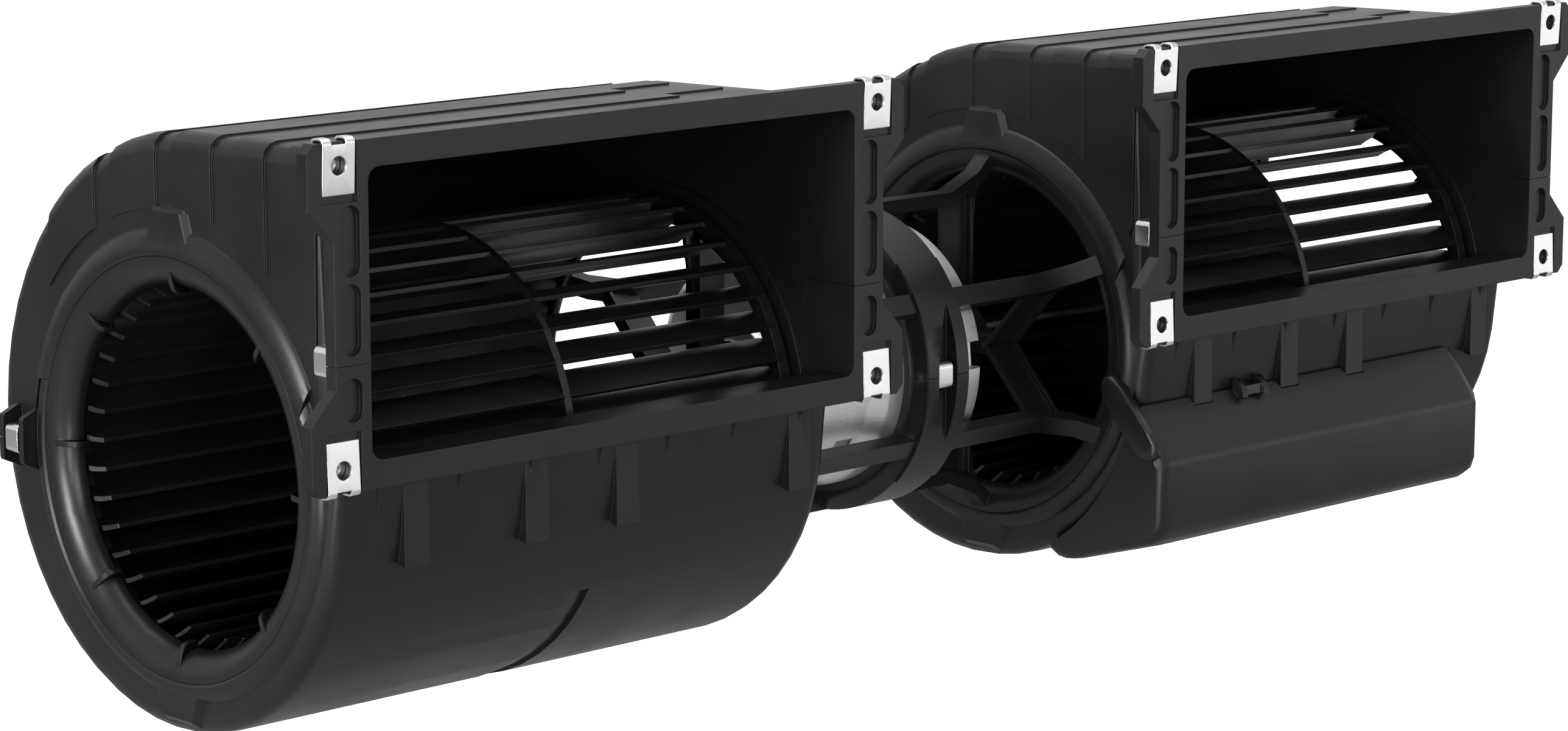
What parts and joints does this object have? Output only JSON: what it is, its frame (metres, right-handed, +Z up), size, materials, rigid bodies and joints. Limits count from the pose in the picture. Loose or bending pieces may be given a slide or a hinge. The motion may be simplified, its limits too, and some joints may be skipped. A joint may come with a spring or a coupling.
{
  "type": "double inlet centrifugal blower",
  "caption": "Side-by-side forward-curved centrifugal blowers with flanged front outlets, driven by a central motor on a common shaft.",
  "frame": {"origin": "middle of the mounting hole pattern of both outlet flanges, on their front face", "axes": "+X along the shaft towards the side with the electronics cover, -Y out of the outlets, +Z up"},
  "size_m": [0.434, 0.1318, 0.1397],
  "materials": {
    "black_plastic": "fine moulded grain, satin",
    "zinc": "bright zinc plated spring steel",
    "shaft_steel": "ground",
    "bush_metal": "sintered",
    "housing_metal": "cast, fine satin",
    "cap_metal": "cast, fine satin",
    "damper_rubber": "matt",
    "bearing_steel": "polished",
    "core_steel": "laminated",
    "copper": "enamelled",
    "magnet": "ground",
    "board": "lacquered",
    "board_part": "moulded"
  },
  "bodies": {
    "frame": {"left_upper_shell": "black_plastic", "left_lower_shell": "black_plastic", "left_inlet_ring": "black_plastic", "left_flange_nuts": "zinc", "left_shell_clips": "zinc", "left_shaft_bush": "bush_metal", "left_bearing": "bearing_steel", "right_upper_shell": "black_plastic", "right_lower_shell": "black_plastic", "right_inlet_ring": "black_plastic", "right_flange_nuts": "zinc", "right_shell_clips": "zinc", "right_shaft_bush": "bush_metal", "right_bearing": "bearing_steel", "carrier_upper": "black_plastic", "carrier_lower": "black_plastic", "carrier_clips": "zinc", "motor_damper": "damper_rubber", "motor_housing": "housing_metal", "motor_end_cap": "cap_metal", "motor_screws": "zinc", "stator_core": "core_steel", "stator_windings": "copper", "motor_board": "board", "electronics_cover": "black_plastic", "control_board": "board", "board_components": "board_part"},
    "rotor": {"left_wheel": "black_plastic", "left_hub_clip": "zinc", "right_wheel": "black_plastic", "right_hub_clip": "zinc", "rotor_core": "core_steel", "rotor_magnets": "magnet", "shaft": "shaft_steel"}
  },
  "joints": [
    {"name": "rotor_spin", "type": "hinge", "parent": "frame", "child": "rotor", "pos_m": [0, 0.065, -0.042], "axis": [1, 0, 0], "continuous": true}
  ]
}
